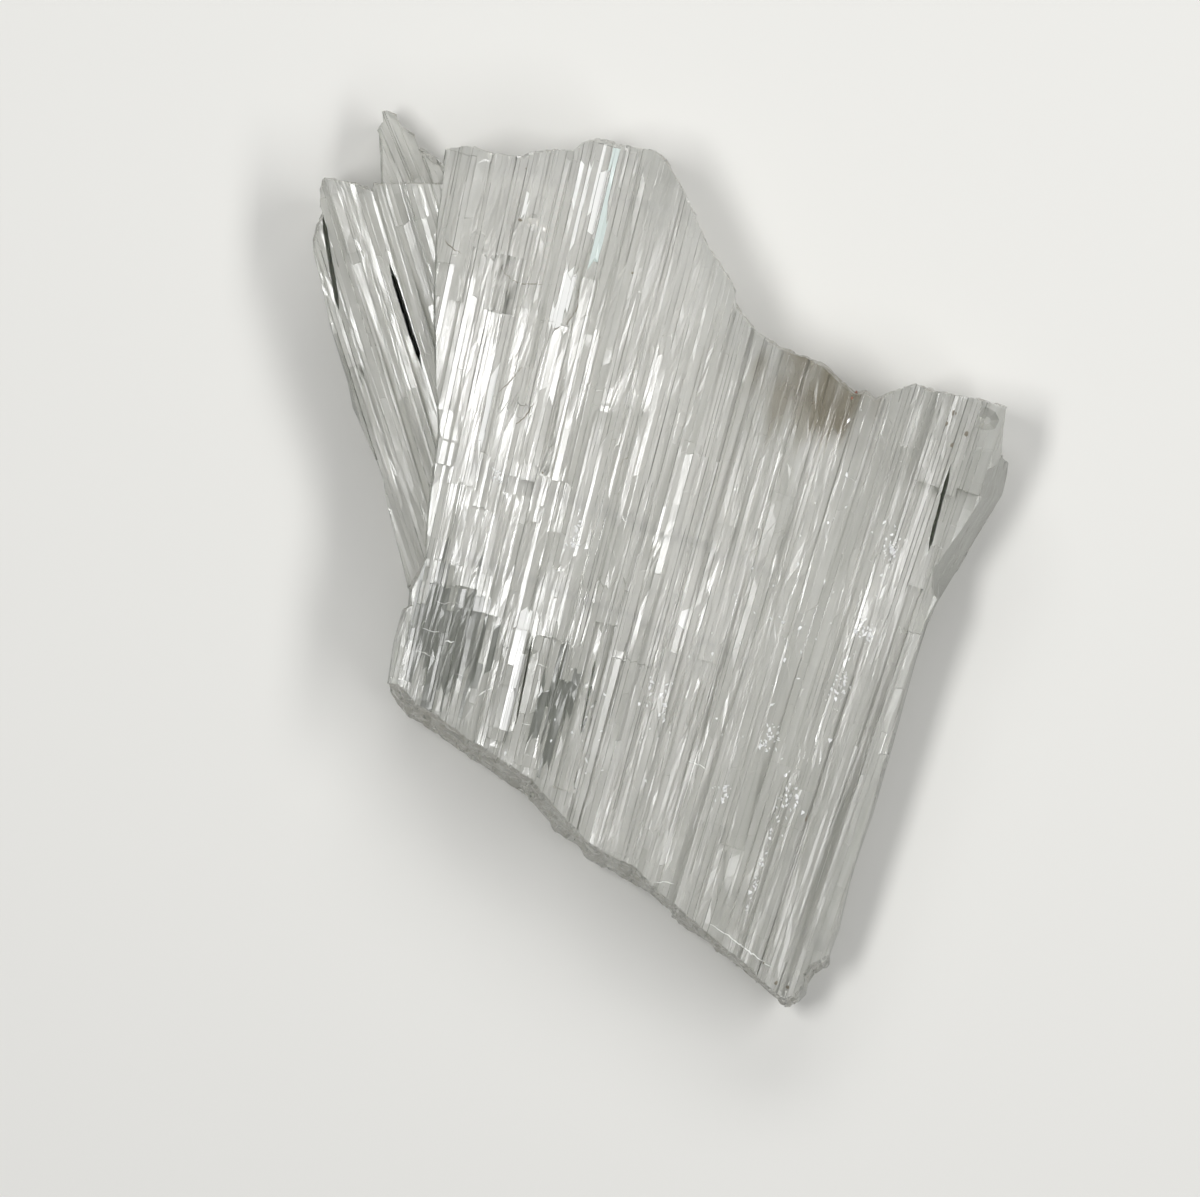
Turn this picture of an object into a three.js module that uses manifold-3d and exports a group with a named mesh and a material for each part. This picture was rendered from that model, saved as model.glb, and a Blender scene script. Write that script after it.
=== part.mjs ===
// A probertite specimen: one clear cleavage plate of parallel striated laths, with a smaller
// blade grown onto its left side at another angle and a pointed horn behind the corner
// between the two. They grew together, so they are one solid, and it lies on its back.
// Millimetres, +Z up. The origin is under the middle of the specimen, on the surface that it
// lies on. +Y runs from the lower tip towards the horn, +X towards the right shoulder.
import * as THREE from "three";
import { ConvexGeometry } from "three/addons/geometries/ConvexGeometry.js";
import { mergeVertices } from "three/addons/utils/BufferGeometryUtils.js";
import Module from "manifold-3d";

const wasm = await Module();
wasm.setup();

// Driving dimensions, in millimetres and degrees
const PLATE_TOP = 8.8; // the plate's highest cleavage level
const PLATE_CROWN_T = -5; // across and along the fibres, where that level is
const PLATE_CROWN_A = 5;
const PLATE_FALL_ACROSS = 0.0045; // fall per square millimetre away from there
const PLATE_FALL_ALONG = 0.0026;
const PLATE_GIRDLE = 2.6; // height at which the broken edge is widest
const PLATE_LEAN = 15.5; // fibres lean from +Y towards +X
const PLATE_CENTRE = [2, -2];
const PLATE_FAN = 265; // the fibres spread from a point this far below the centre
const PLATE_REACH = { left: -23, right: 19, low: -27, high: 29 };
const LATH_WIDTH = { least: 0.7, most: 1.9 };
const LATH_LENGTH = { least: 12, most: 34 };
const RAGGED = 2.4; // how far a terrace's end wanders from lath to lath
const SHORTEST = 0.8; // the shortest stretch between two steps of a lath
const LATH_STEP = 0.13; // how far one lath stands above or below its neighbour
const LATH_TILT = 0.07; // rise across a lath's top, per millimetre of its width
const TERRACE_TILT = 0.035; // the same for laths of one terrace, beyond the terrace's own tilt

const BLADE_TOP = 6.4; // the blade's level on its own middle line
const BLADE_SLOPE = 0.28; // it climbs towards the plate
const BLADE_FALL_ALONG = 0.004;
const BLADE_GIRDLE = 3.2;
const BLADE_FOOT = 1.5;
const BLADE_LEAN = -17;
const BLADE_CENTRE = [-16.2, 11];
const BLADE_FAN = 420;
const BLADE_REACH = { left: -8, right: 8, low: -16, high: 16 };
const BLADE_LATH_WIDTH = { least: 0.55, most: 1.15 };
const BLADE_LATH_STEP = 0.24;

const HORN_TOP = 4.5; // the horn's level over its middle
const HORN_SLOPE = 0.3; // it falls towards its point
const HORN_GIRDLE = 2.1;
const HORN_FOOT = 0.8;
const HORN_LEAN = -22;
const HORN_CENTRE = [-14.8, 22.6];
const HORN_FAN = 60;
const HORN_REACH = { left: -5, right: 5, low: -6, high: 7 };
const HORN_LATH_WIDTH = { least: 0.45, most: 0.9 };
const HORN_LATH_STEP = 0.25;

const CROWN_ABOVE = 2.5; // the edge solids run this far above the laths they trim
const BELOW = -1; // the laths start below the foot, which trims them flat
const LAP = 0.03; // laths overlap their neighbours by this much
const EDGE_ROUGHNESS = 0.16; // how far a break's middle wanders in and out
const GIRDLE_ROUGHNESS = 0.32; // how far the widest line wanders up and down
const WELD = 1e-4; // corners closer than this are one corner
const SEED = 1931;

// The plate's edge, clockwise from its top left corner, in the stretches along which it broke
// or cleaved. rim is how far the face stands back from the widest outline, and foot how far
// the underside does.
const PLATE_EDGE = [
  {
    name: "top break",
    rim: 0.35,
    foot: 1.7,
    points: [
      [-12.9, 24.5], [-11.6, 24.6], [-10, 24.2], [-8.3, 24], [-7.8, 24.3], [-6.4, 24.4],
      [-5.2, 24.3], [-4.7, 24.8], [-4.2, 24.9], [-3.8, 25.2], [-2.8, 24.9], [-0.3, 24.3],
    ],
  },
  {
    name: "upper right break",
    rim: 0.4,
    foot: 2,
    points: [
      [0.4, 23.5], [1.3, 22.1], [1.9, 20.8], [2.8, 18.8], [4.2, 16.7], [4.4, 16], [4.5, 15.2],
      [5.8, 13.5], [7.2, 12.6], [8.7, 12.1], [9.8, 11.6], [11.6, 9.9], [12.3, 10], [12.9, 9.5],
    ],
  },
  {
    name: "right shoulder",
    rim: 0.35,
    foot: 1.6,
    points: [[13.7, 9.9], [15.3, 10.4], [16.3, 10.1], [19.1, 9.5], [20.6, 9], [20.5, 7.8], [20.4, 6.2]],
  },
  {
    name: "right flank",
    rim: 2.4,
    foot: 0.9,
    points: [[20.9, 5.7], [20.8, 5], [20.5, 3.8], [18.9, 1.2], [17.8, -0.7]],
  },
  {
    name: "right cleavage side",
    rim: 0.6,
    foot: 1.2,
    points: [
      [16.7, -2.5], [16, -3.9], [15.3, -6.1], [13.8, -11.6], [12.7, -15.3], [11.9, -17.6],
      [11.3, -19.5], [10.7, -22.2], [10.1, -23.8],
    ],
  },
  {
    name: "lower tip",
    rim: 1.9,
    foot: 0.8,
    points: [
      [10.1, -24.3], [9.8, -24.7], [9.2, -24.9], [8.8, -25.5], [8.7, -26.1], [8.2, -26.7],
      [7.7, -26.9],
    ],
  },
  {
    name: "lower break",
    rim: 1.35,
    foot: 1.3,
    points: [
      [7.3, -26.7], [6.3, -25.9], [4.5, -24.3], [3.3, -23.5], [0.7, -21.4], [-0.4, -20.3],
      [-1.8, -19.3], [-4.5, -17.9], [-5.1, -17.2], [-6.3, -16.3], [-8.3, -14.1], [-9.4, -13.2],
      [-12.2, -11.5], [-14.1, -10], [-15.3, -9.4], [-15.9, -8.5],
    ],
  },
  {
    name: "left cleavage side",
    rim: 0.45,
    foot: 1.4,
    points: [
      [-16.4, -7.5], [-16, -4.9], [-15.5, -3.1], [-15.2, -2.9], [-15.1, -1.9], [-14.4, -0.1],
      [-14, 3.5], [-13.4, 7.7], [-13.7, 10.7], [-13.7, 15.5], [-13.6, 19.7],
    ],
  },
];

// The blade's edge, clockwise from its upper left corner. Its right side is inside the plate.
const BLADE_EDGE = [
  {
    name: "top break",
    rim: 0.2,
    foot: 0.8,
    points: [[-20.1, 22.8], [-19.1, 22.5], [-18.3, 22.4], [-17.2, 22.1], [-17.1, 22.4], [-12.9, 22.4]],
  },
  {
    name: "root",
    rim: 0,
    foot: 0,
    points: [[-11.4, 15.5], [-12.3, 6.5], [-14.1, -1.3]],
  },
  {
    name: "left side",
    rim: 0.5,
    foot: 0.9,
    points: [
      [-15.1, -1.9], [-15.6, 0.2], [-16.2, 2.5], [-16.6, 4.7], [-17.8, 7.4], [-18.5, 9],
      [-18.8, 10.5], [-19.9, 14], [-20.2, 15.6], [-20.9, 18.6], [-20.6, 20], [-20.2, 20.8],
      [-20.4, 21.2], [-20.4, 22.1],
    ],
  },
];

// Cleavage terraces of the plate: a stretch across (t) and along (a) the fibres that stands
// higher or lower than the rest, by rise, or leans across the fibres, by tilt.
const TERRACES = [
  { name: "corner sheet", t: [-22, -13.4], a: [15.5, 30], rise: 0.25, tilt: 0.02 },
  { name: "bright laths", t: [-16.5, -9], a: [3.5, 15.5], rise: 0.12, tilt: 0.1 },
  { name: "smooth sheet", t: [-9, -1], a: [10.5, 30], rise: -0.12, tilt: 0.02 },
  { name: "clear window", t: [-18, -10], a: [-14, -3.5], rise: -0.2, tilt: -0.02 },
  { name: "knife lath", t: [-10, -8.8], a: [-11.5, -3], rise: 0.35, tilt: 0.2 },
  { name: "stepped ends", t: [-8.8, -4], a: [-15, -5], rise: -0.25, tilt: 0.03 },
  { name: "right panel", t: [10, 20], a: [-28, 11], rise: -0.4, tilt: -0.05 },
  { name: "long ridge", t: [8.6, 10], a: [-22, -9], rise: 0.22, tilt: -0.08 },
  { name: "short ridge", t: [5.2, 6.4], a: [-19, -10], rise: 0.22, tilt: 0.08 },
];

// Narrow open cracks along the fibres: the two ends of each on the ground plan, its width
// well above the face, and the height down to which it tapers.
const CRACKS = [
  { name: "gap behind the outer sliver", ends: [[-20.2, 20.6], [-19.2, 14.6]], width: 1.1, floor: 3.4 },
  { name: "groove in the blade", ends: [[-16.2, 17.6], [-14.2, 11.2]], width: 1, floor: 4.6 },
  { name: "crack beside the knife lath", ends: [[-7.6, -4.6], [-8.7, -10]], width: 0.6, floor: 7 },
  { name: "crack below the stepped ends", ends: [[-3.9, -5.9], [-4.8, -10.4]], width: 0.6, floor: 7 },
  { name: "slit inside the flank", ends: [[17.2, 5.7], [15.8, 0.2]], width: 0.7, floor: 5.2 },
];

// Chipped hollows in the face: the place on the ground plan, the radius well above the face,
// and the height of the bottom.
const CHIPS = [
  { name: "pit on the shoulder", at: [19.4, 8.2], radius: 4, floor: 6.5 },
  { name: "chip in the top sheet", at: [-7.6, 20], radius: 5, floor: 8 },
];
const CHIP_SIDES = 7;
const CHIP_FLOOR = 0.2; // a chip's radius at its bottom
const CHIP_UNEVEN = 0.25; // how much its sides differ, as a share of the radius
const CUT_TOP = 10.5; // cracks and chips are cut from this height

// The horn's edge, clockwise from its left foot. Its root is inside the plate and the blade.
const HORN_EDGE = [
  {
    name: "point",
    rim: 0.3,
    foot: 0.5,
    points: [
      [-16.8, 22.5], [-16.9, 25.4], [-17, 25.7], [-16.7, 26.2], [-16.7, 26.8], [-16.5, 26.9],
      [-15.9, 26.6], [-15.5, 25.9], [-14.8, 25.4], [-14.5, 24.6], [-14, 24.3], [-13.2, 23.8],
    ],
  },
  {
    name: "root",
    rim: 0,
    foot: 1.2,
    points: [[-11.4, 23], [-12.2, 20.6], [-14.4, 18.4], [-16.4, 20.8]],
  },
];

const CRYSTAL = new THREE.MeshStandardMaterial({ color: "#c9cac4", roughness: 0.12, metalness: 0 });

// Random numbers from 0 to 1 that come out the same on every run.
function seededRandom(seed) {
  let state = seed;
  return () => {
    state = (state + 0x6d2b79f5) | 0;
    let mixed = Math.imul(state ^ (state >>> 15), 1 | state);
    mixed = (mixed + Math.imul(mixed ^ (mixed >>> 7), 61 | mixed)) ^ mixed;
    return ((mixed ^ (mixed >>> 14)) >>> 0) / 4294967296;
  };
}

const random = seededRandom(SEED);
const between = ({ least, most }) => least + (most - least) * random();
const spread = (amount) => amount * (2 * random() - 1);

// A closed three.js geometry as a solid that can be joined and cut.
function solidOf(geometry) {
  const bare = geometry.clone();
  bare.deleteAttribute("normal");
  bare.deleteAttribute("uv");
  const merged = mergeVertices(bare, WELD);
  const mesh = new wasm.Mesh({
    numProp: 3,
    vertProperties: merged.attributes.position.array,
    triVerts: new Uint32Array(merged.index.array),
  });
  return new wasm.Manifold(mesh);
}

// A solid as a three.js geometry with flat faces.
function geometryOf(solid) {
  const { vertProperties, triVerts } = solid.getMesh();
  const indexed = new THREE.BufferGeometry();
  indexed.setAttribute("position", new THREE.BufferAttribute(vertProperties, 3));
  indexed.setIndex(new THREE.BufferAttribute(triVerts, 1));
  const faceted = indexed.toNonIndexed();
  faceted.computeVertexNormals();
  return faceted;
}

const joined = (solids) => solids.reduce((whole, next) => whole.add(next));

// Ground-plan coordinates that follow a crystal's fibres: t is across them and a along them,
// measured at the crystal's centre, and the fibres spread from a point below it.
function fibreFan([centreX, centreY], leanDegrees, radius) {
  const lean = THREE.MathUtils.degToRad(leanDegrees);
  const apexX = centreX - radius * Math.sin(lean);
  const apexY = centreY - radius * Math.cos(lean);
  return (t, a) => {
    const angle = lean + t / radius;
    return [apexX + (radius + a) * Math.sin(angle), apexY + (radius + a) * Math.cos(angle)];
  };
}

// One straight stretch of a lath, from low to high along the fibres, with its top given by
// topAt(t, a) and its underside flat.
function lathStretch(fan, [left, right], [low, high], topAt) {
  const corners = [];
  for (const t of [left - LAP, right + LAP]) {
    for (const a of [low - LAP, high + LAP]) {
      const [x, y] = fan(t, a);
      corners.push(new THREE.Vector3(x, y, BELOW), new THREE.Vector3(x, y, topAt(t, a)));
    }
  }
  return solidOf(new ConvexGeometry(corners));
}

// The places along one lath where its top steps up or down: the ends of the terraces that it
// runs through, a little ragged, and a few breaks of its own.
function stepsAlong(middle, reach, terraces) {
  const ends = [reach.low, reach.high];
  for (const { t, a } of terraces) {
    if (middle > t[0] && middle < t[1]) ends.push(a[0] + spread(RAGGED), a[1] + spread(RAGGED));
  }
  for (let a = reach.low + between(LATH_LENGTH); a < reach.high; a += between(LATH_LENGTH)) ends.push(a);
  const inside = ends.filter((a) => a >= reach.low && a <= reach.high).sort((p, q) => p - q);
  return inside.filter((a, i) => i === 0 || a - inside[i - 1] > SHORTEST || a === reach.high);
}

// All of a crystal's laths side by side. levelAt(t, a) is the crystal's own level, on which
// each stretch of each lath gets its small step and tilt.
function lathBundle(fan, reach, width, step, levelAt, terraces) {
  const stretches = [];
  for (let left = reach.left; left < reach.right; ) {
    const right = left + between(width);
    const middle = (left + right) / 2;
    const steps = stepsAlong(middle, reach, terraces);
    for (let i = 1; i < steps.length; i++) {
      const halfWay = (steps[i - 1] + steps[i]) / 2;
      const terrace = terraces.filter(
        ({ t, a }) => middle > t[0] && middle < t[1] && halfWay > a[0] && halfWay < a[1],
      );
      const rise = terrace.reduce((sum, one) => sum + one.rise, 0) + spread(step);
      const tilt = terrace.length ? terrace.at(-1).tilt + spread(TERRACE_TILT) : spread(LATH_TILT);
      const topAt = (t, a) => levelAt(t, a) + rise + tilt * (t - middle);
      stretches.push(lathStretch(fan, [left, right], [steps[i - 1], steps[i]], topAt));
    }
    left = right;
  }
  return joined(stretches);
}

// A closed solid from rings of equal length, lowest first, each a list of [x, y, z].
function stackedRings(rings) {
  const count = rings[0].length;
  const positions = rings.flat(2);
  const triangles = [];
  for (let ring = 0; ring + 1 < rings.length; ring++) {
    for (let i = 0; i < count; i++) {
      const here = ring * count + i;
      const next = ring * count + ((i + 1) % count);
      triangles.push(here, here + count, next, next, here + count, next + count);
    }
  }
  const flat = (ring) => ring.map(([x, y]) => new THREE.Vector2(x, y));
  const capOf = (ring) => THREE.ShapeUtils.triangulateShape(flat(ring), []);
  const roof = (rings.length - 1) * count;
  for (const [p, q, r] of capOf(rings[0])) triangles.push(p, r, q);
  for (const [p, q, r] of capOf(rings.at(-1))) triangles.push(roof + p, roof + q, roof + r);
  const geometry = new THREE.BufferGeometry();
  geometry.setAttribute("position", new THREE.Float32BufferAttribute(positions, 3));
  geometry.setIndex(triangles);
  return geometry;
}

// The solid inside a broken edge: widest at the girdle, drawn in to the foot below it and to
// the rim of the face above it, with a rough middle. Points draw in towards a crystal's axis.
function brokenBody(edge, [axisX, axisY], { foot, girdle, top }) {
  const crown = top + CROWN_ABOVE;
  const slope = (crown - girdle) / (top - girdle);
  const waist = (girdle + top) / 2;
  const points = edge.flatMap((stretch) => stretch.points.map(([x, y]) => ({ x, y, stretch })));
  const drawIn = ({ x, y }, inset, z) => {
    const keep = 1 - inset / Math.hypot(x - axisX, y - axisY);
    return [axisX + (x - axisX) * keep, axisY + (y - axisY) * keep, z];
  };
  return solidOf(
    stackedRings([
      points.map((p) => drawIn(p, p.stretch.foot, foot)),
      points.map((p) => drawIn(p, 0, girdle + spread(GIRDLE_ROUGHNESS))),
      points.map((p) => drawIn(p, p.stretch.rim / 2 + spread(EDGE_ROUGHNESS), waist)),
      points.map((p) => drawIn(p, p.stretch.rim * slope, crown)),
    ]),
  );
}

// The main plate
function cleavagePlate() {
  const fan = fibreFan(PLATE_CENTRE, PLATE_LEAN, PLATE_FAN);
  const levelAt = (t, a) =>
    PLATE_TOP - PLATE_FALL_ACROSS * (t - PLATE_CROWN_T) ** 2 - PLATE_FALL_ALONG * (a - PLATE_CROWN_A) ** 2;
  const laths = lathBundle(fan, PLATE_REACH, LATH_WIDTH, LATH_STEP, levelAt, TERRACES);
  const edge = brokenBody(PLATE_EDGE, [0, 0], { foot: 0, girdle: PLATE_GIRDLE, top: PLATE_TOP });
  return laths.intersect(edge);
}

// The blade on the plate's left side
function sideBlade() {
  const fan = fibreFan(BLADE_CENTRE, BLADE_LEAN, BLADE_FAN);
  const levelAt = (t, a) => BLADE_TOP + BLADE_SLOPE * t - BLADE_FALL_ALONG * a ** 2;
  const laths = lathBundle(fan, BLADE_REACH, BLADE_LATH_WIDTH, BLADE_LATH_STEP, levelAt, []);
  const heights = { foot: BLADE_FOOT, girdle: BLADE_GIRDLE, top: BLADE_TOP };
  const edge = brokenBody(BLADE_EDGE, BLADE_CENTRE, heights);
  return laths.intersect(edge);
}

// The pointed horn behind the corner
function horn() {
  const fan = fibreFan(HORN_CENTRE, HORN_LEAN, HORN_FAN);
  const levelAt = (t, a) => HORN_TOP - HORN_SLOPE * a;
  const laths = lathBundle(fan, HORN_REACH, HORN_LATH_WIDTH, HORN_LATH_STEP, levelAt, []);
  const heights = { foot: HORN_FOOT, girdle: HORN_GIRDLE, top: HORN_TOP };
  const edge = brokenBody(HORN_EDGE, HORN_CENTRE, heights);
  return laths.intersect(edge);
}

// A wedge that tapers down to an edge, widest half way along
function crackCut({ ends: [from, to], width, floor }) {
  const start = new THREE.Vector3(...from, floor);
  const end = new THREE.Vector3(...to, floor);
  const along = end.clone().sub(start);
  const aside = new THREE.Vector3(-along.y, along.x, 0).setLength(width / 2);
  const middle = start.clone().add(end).divideScalar(2).setZ(CUT_TOP);
  const high = [start.clone().setZ(CUT_TOP), end.clone().setZ(CUT_TOP)];
  const corners = [start, end, ...high, middle.clone().add(aside), middle.clone().sub(aside)];
  return solidOf(new ConvexGeometry(corners));
}

// A funnel with flat uneven sides
function chipCut({ at: [x, y], radius, floor }) {
  const corners = [];
  for (let side = 0; side < CHIP_SIDES; side++) {
    const angle = (side / CHIP_SIDES) * 2 * Math.PI;
    const rim = radius * (1 + spread(CHIP_UNEVEN));
    for (const [reach, z] of [[rim, CUT_TOP], [CHIP_FLOOR, floor]]) {
      corners.push(new THREE.Vector3(x + reach * Math.cos(angle), y + reach * Math.sin(angle), z));
    }
  }
  return solidOf(new ConvexGeometry(corners));
}

const grown = joined([cleavagePlate(), sideBlade(), horn()]);
const cuts = joined([...CRACKS.map(crackCut), ...CHIPS.map(chipCut)]);

const specimen = new THREE.Group();
const crystal = new THREE.Mesh(geometryOf(grown.subtract(cuts)), CRYSTAL);
crystal.name = "probertite_crystal";
specimen.add(crystal);

export default specimen;
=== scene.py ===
"""The finish of a probertite specimen: a clear cleavage plate of parallel laths that lies on its back.

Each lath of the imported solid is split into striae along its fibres, and the striae are set at their small
steps, so that the flat facets catch the light as cleaved probertite does. Metres, in the frame's own axes.
"""

import math

import bmesh
import bpy
import numpy as np
from mathutils import Matrix, Vector
from mathutils.bvhtree import BVHTree
from mathutils.kdtree import KDTree


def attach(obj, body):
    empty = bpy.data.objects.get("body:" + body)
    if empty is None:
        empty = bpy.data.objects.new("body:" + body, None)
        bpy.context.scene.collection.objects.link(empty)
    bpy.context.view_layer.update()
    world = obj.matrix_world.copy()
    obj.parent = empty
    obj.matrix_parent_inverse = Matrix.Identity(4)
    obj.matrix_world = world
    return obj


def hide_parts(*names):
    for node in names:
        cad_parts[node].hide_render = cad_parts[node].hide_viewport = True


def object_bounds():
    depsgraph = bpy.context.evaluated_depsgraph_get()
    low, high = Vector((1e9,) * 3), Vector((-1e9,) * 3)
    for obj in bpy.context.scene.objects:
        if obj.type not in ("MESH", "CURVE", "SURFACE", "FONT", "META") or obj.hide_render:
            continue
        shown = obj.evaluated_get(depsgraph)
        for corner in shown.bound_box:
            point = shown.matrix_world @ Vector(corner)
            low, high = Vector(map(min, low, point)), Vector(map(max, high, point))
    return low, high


bl_info = {
    "name": "Probertite Specimen",
    "version": (1, 0, 0),
    "blender": (4, 5, 0),
    "location": "View3D > Sidebar > Probertite",
    "description": "Gives the packed probertite crystal its striae, its finish and its studio",
    "category": "Object",
}

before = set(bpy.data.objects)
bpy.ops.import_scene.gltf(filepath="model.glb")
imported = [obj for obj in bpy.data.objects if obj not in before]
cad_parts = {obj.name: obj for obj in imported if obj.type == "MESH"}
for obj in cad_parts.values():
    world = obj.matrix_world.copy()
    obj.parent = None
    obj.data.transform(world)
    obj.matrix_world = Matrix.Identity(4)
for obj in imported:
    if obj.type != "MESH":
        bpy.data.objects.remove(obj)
CAD_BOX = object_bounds()
NODE = "probertite_crystal"
MM = 0.001
SEED = 1929

# The three crystals that grew together: the centre of each on the ground plan, in millimetres, how far its
# fibres lean from +Y towards +X, in degrees, and how far below the centre they spread from.
FANS = {
    "plate": {"centre": (2.0, -2.0), "lean": 15.5, "radius": 265.0},
    "blade": {"centre": (-16.2, 11.0), "lean": -17.0, "radius": 420.0},
    "horn": {"centre": (-14.8, 22.6), "lean": -22.0, "radius": 60.0},
}
# Where the blade meets the plate's left side, from the bottom up, in millimetres
SEAM_Y = (-1.9, -0.1, 3.5, 7.7, 10.7, 15.5, 19.7, 23.8)
SEAM_X = (-15.1, -14.4, -14.0, -13.4, -13.7, -13.7, -13.6, -13.0)
SEAM_WALL = 0.35  # the plate's wall leans back by this much above the blade
BLADE_HIGHEST = 7.35
HORN_STARTS = 22.45

# The laths of each crystal: how far they reach across the fibres, in millimetres
REACH = {"plate": (-26.0, 22.0), "blade": (-7.0, 8.0), "horn": (-6.0, 8.0)}
LATH_WIDTH = 0.18  # the middle width
LATH_SPREAD = 0.5  # of the width's logarithm
LATH_NARROWEST, LATH_WIDEST = 0.08, 0.7
STEP_WIDTH = 0.04  # of the slope between two laths
LENGTHS = (-34.0, 34.0)  # how far the laths reach along the fibres
FACET_STEP = 0.05  # of the slope between two facets of a lath
RAGGED = 1.1  # how far the facets' ends stray along the fibres
RAGGED_LENGTH = 3.2  # over how long a stretch they stray
# Bundles of laths that stand and lie together: how many laths, how long a stretch of them is, how much higher or
# lower it stands, in millimetres, how far it rolls, in degrees, and the order of its random values
BUNDLES = ((8, 26, 0.06, 2.5, 0), (3, 17, 0.035, 4, 10), (1, 11, 0.022, 6, 20))

# The ends of the laths on the breaks, and the sheets on the cleaved sides: how far they stand out, their width and
# length, in millimetres, and the order of their random values
BREAK_STEPS = ((0.09, 0.83, 12, 0), (0.06, 0.37, 7, 10), (0.03, 0.19, 4, 20))
SHEET_STEPS = ((0.04, 0.9, 16, 32), (0.02, 0.45, 9, 35))
BREAK_UNEVEN, BREAK_UNEVEN_SIZE = 0.04, 0.5  # height and size of the unevenness of a break, in millimetres

# Where the plate's laths stand out more or less than elsewhere: the middle across and along its fibres, the
# half width and half length, in millimetres, then the share of the usual relief, the roll towards the key
# light, in degrees, and how veiled with fine cracks the crystal is there.
ZONES = (
    (-5.5, 18.0, 4.5, 6.5, 0.45, 0, 0.35),
    (-11.3, 21.0, 1.3, 3.5, 1.4, -9, 0.8),
    (-15.5, 20.0, 3.0, 5.0, 0.9, -4, 0.6),
    (-13.2, 8.0, 2.3, 4.5, 1.1, -9, 0.7),
    (-13.8, -6.5, 3.0, 4.0, 0.1, 4, -1.3),
    (-6.4, -8.5, 1.7, 3.2, 0.1, 4, -1.2),
    (-5.5, -1.5, 2.0, 3.0, 1.4, -2, 0.1),
    (-2.5, 7.0, 3.0, 5.0, 1.3, -4, 0.3),
    (0.0, -1.5, 1.7, 5.5, 1.4, -8, 1.0),
    (4.5, -6.0, 2.5, 5.0, 0.4, 0, -0.1),
    (10.5, -14.0, 4.5, 8.0, 0.25, 0, -0.5),
    (4.0, 13.0, 3.5, 2.5, 0.5, 0, -0.3),
    (12.5, 10.0, 3.0, 6.0, 0.8, 0, -0.4),
    (10.2, 4.0, 1.2, 3.0, 1.4, -5, 0.5),
)
ZONE_RAGGED = 1.8  # how far the laths carry a zone's look past its ends

# The brown stain at the upper right break: its middle across and along the fibres, its half width and half
# length, in millimetres, and its depth.
STAIN = (3.4, 13.2, 3.6, 2.9, 0.75)

# Single laths that stand out: the finish of each, where it starts and ends across and along the fibres, its
# width, all in millimetres, how high it stands, its roll in degrees and how dark its groove is painted, as painted
# shade.
SPLINTERS = (
    ("veiled", -9.55, -3.0, -9.05, -11.3, 0.62, 0.1, -9, 0),
    ("veiled", -11.4, 16.1, -11.75, 13.0, 0.75, 0.08, -9, 0),
    # Painted sheen: this splinter's pale aqua tint stands in for an iridescent glint
    ("aqua", -10.5, 24.6, -10.4, 16.8, 0.42, 0.04, -6, 0),
    ("satin", -8.6, -5.2, -8.4, -10.1, 0.14, -0.06, 0, 0.6),
    ("satin", -4.72, -5.5, -4.45, -9.4, 0.14, -0.06, 0, 0.7),
)

# The finishes of the crystal: its colour from clear to veiled, how much light goes through its surface, its
# roughness from smooth to rough, and its ripples: their size across, through and along the fibres, in
# millimetres, and their strength. The last two are the dirt and the rust of the specks, matt and opaque.
FINISHES = {
    "satin": ("#C0C1B8", "#FFFEF9", 0.66, 0.08, 0.28, (0.08, 0.08, 2.0), 0.25),
    "veiled": ("#F2F2EE", "#FFFFFC", 0.3, 0.12, 0.3, (0.08, 0.08, 2.0), 0.25),
    "clear": ("#B4B6AD", "#E2E3DD", 0.78, 0.18, 0.3, (0.08, 0.08, 2.0), 0.15),
    "broken": ("#D9D3C2", "#FFFDF6", 0.66, 0.08, 0.3, (0.13, 0.8, 0.5), 0.4),
    "cleaved": ("#D2D2C9", "#FFFEF9", 0.78, 0.04, 0.15, (0.08, 0.08, 2.0), 0.3),
    # Painted sheen: a pale aqua tint that stands in for the iridescence of a cleavage crack
    "aqua": ("#D5E6E2", "#F3FFFB", 0.4, 0.08, 0.2, (0.08, 0.08, 2.0), 0.25),
    "glinting": ("#F2F4F4", "#FFFFFF", 0.4, 0.03, 0.08, (0.08, 0.08, 2.0), 0.1),
    "dirt": ("#4A453C", "#6E675A", 0.0, 0.5, 0.7, (0.08, 0.08, 0.08), 0.5),
    "rust": ("#6B4436", "#8A5A48", 0.0, 0.5, 0.7, (0.08, 0.08, 0.08), 0.5),
}
CRACK_WIDTH = 0.7  # the widest crack whose walls get the pale veiled finish, painted light that lightens the shaded groove, in millimetres
SPECK_MATERIALS = ("dirt", "rust")
IOR = 1.52  # about that of probertite
ABSORPTION_COLOUR, ABSORPTION_DENSITY = "#E2E5DF", 30.0
STAIN_COLOUR = "#8C8064"
# Painted shade: the colour that darkens the steps between laths and the grooves of the dark splinters
PAINTED_SHADE_COLOUR = "#4A4A45"
STREAK_SIZE = (0.3, 0.3, 6.0)  # of the streaks of haze, across, through and along the fibres, in millimetres
THIN_FILM = 420.0  # nanometres, the air in the cracks under the glinting shards

# Clusters of small shards that glint: the middle across and along the plate's fibres, the half width and half
# length, in millimetres, and how many there are.
SHARDS = (
    (10.4, 5.4, 0.45, 1.8, 34),
    (10.3, 0.5, 0.8, 0.8, 28),
    (9.8, -3.0, 0.6, 1.8, 34),
    (6.7, -7.4, 0.7, 1.2, 30),
    (4.9, -11.0, 0.7, 0.8, 18),
    (8.9, -10.4, 0.9, 1.2, 28),
    (8.6, -14.5, 0.2, 3.5, 26),
    (-7.7, 1.3, 0.35, 1.3, 22),
    (-13.1, 3.6, 0.6, 0.6, 14),
    (-0.5, -7.0, 1.0, 2.2, 26),
    (5.5, -1.0, 5.0, 9.0, 50),
    (-4.0, -9.0, 7.0, 4.0, 24),
)
SHARD_LENGTH = (0.1, 0.45)

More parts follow.
